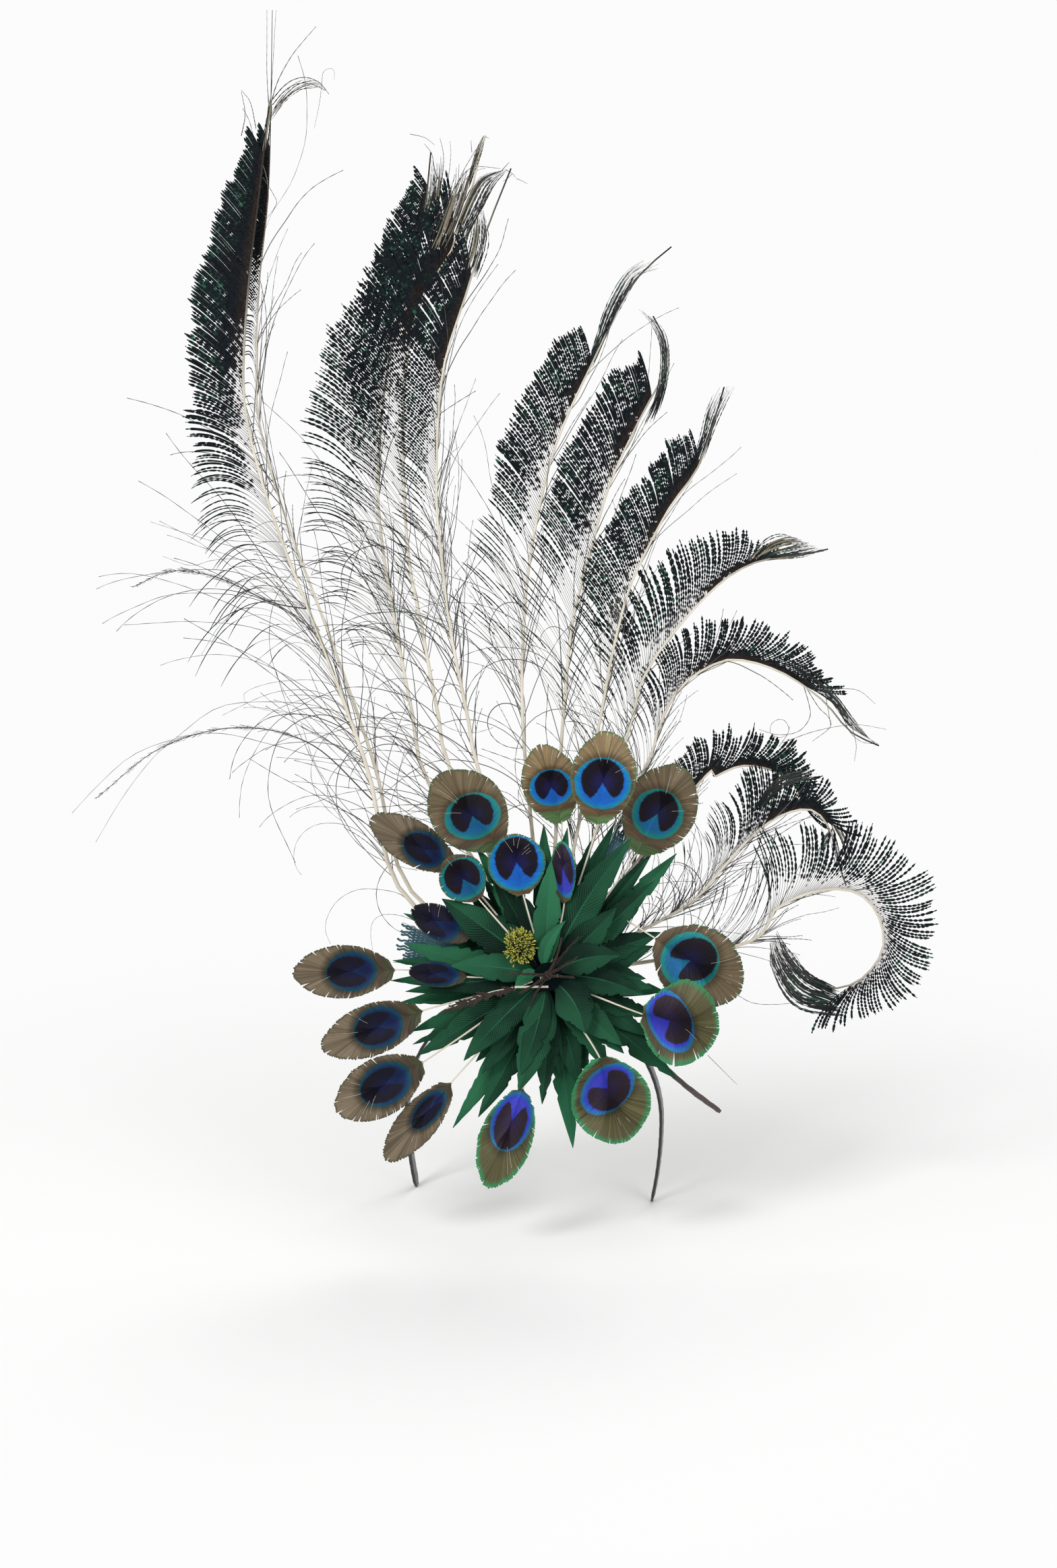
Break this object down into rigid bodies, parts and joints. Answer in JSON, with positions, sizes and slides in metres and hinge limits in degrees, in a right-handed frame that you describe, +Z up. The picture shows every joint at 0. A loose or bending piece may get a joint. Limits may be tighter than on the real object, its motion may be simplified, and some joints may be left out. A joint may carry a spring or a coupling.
{
  "type": "fascinator hat",
  "caption": "Peacock feather fascinator: a headband and felt pad carry a flower of green feather leaves, trimmed peacock eyes and tall curving sword feathers.",
  "frame": {"origin": "inner top of the headband, where it rests on the head", "axes": "+Z up, -Y towards the wearer's front, +X towards the wearer's left"},
  "size_m": [0.4762, 0.2347, 0.6722],
  "materials": {
    "band_satin": "black satin ribbon, soft sheen",
    "pad_felt": "dark felt, matt",
    "stem_tape": "wound florist's tape, dull brown grey",
    "green_feather": "dyed green feather, low sheen",
    "eye_feather": "natural peacock eye, iridescent",
    "sword_feather": "natural peacock sword feather, dark barbs on an ivory quill",
    "stiff_net": "stiff metallic net, see-through",
    "stamen": "yellow green clipped feather barbs",
    "dark_stem": "dark brown split quill, dull"
  },
  "bodies": {
    "root": {"headband": "band_satin", "base_pad": "pad_felt", "feather_core": "stem_tape", "taped_stem": "stem_tape", "leaf_ring_1": "green_feather", "leaf_ring_2": "green_feather", "leaf_ring_3": "green_feather", "leaf_ring_4": "green_feather", "leaf_ring_5": "green_feather", "leaf_ring_6": "green_feather", "leaf_ring_7": "green_feather", "peacock_eye_01": "eye_feather", "peacock_eye_02": "eye_feather", "peacock_eye_03": "eye_feather", "peacock_eye_04": "eye_feather", "peacock_eye_05": "eye_feather", "peacock_eye_06": "eye_feather", "peacock_eye_07": "eye_feather", "peacock_eye_08": "eye_feather", "peacock_eye_09": "eye_feather", "peacock_eye_10": "eye_feather", "peacock_eye_11": "eye_feather", "peacock_eye_12": "eye_feather", "peacock_eye_13": "eye_feather", "peacock_eye_14": "eye_feather", "peacock_eye_15": "eye_feather", "peacock_eye_16": "eye_feather", "peacock_eye_17": "eye_feather", "peacock_eye_18": "eye_feather", "sword_feather_01": "sword_feather", "sword_feather_02": "sword_feather", "sword_feather_03": "sword_feather", "sword_feather_04": "sword_feather", "sword_feather_05": "sword_feather", "sword_feather_06": "sword_feather", "sword_feather_07": "sword_feather", "sword_feather_08": "sword_feather", "sword_feather_09": "sword_feather", "sword_feather_10": "sword_feather", "sword_feather_11": "sword_feather", "sword_feather_12": "sword_feather", "sword_feather_13": "sword_feather", "loose_barb_1": "sword_feather", "loose_barb_2": "sword_feather", "net_scrap_left": "stiff_net", "net_scrap_top": "stiff_net", "stamen_tuft": "stamen", "stem_knot": "dark_stem", "quill_splinter": "dark_stem"}
  },
  "joints": []
}
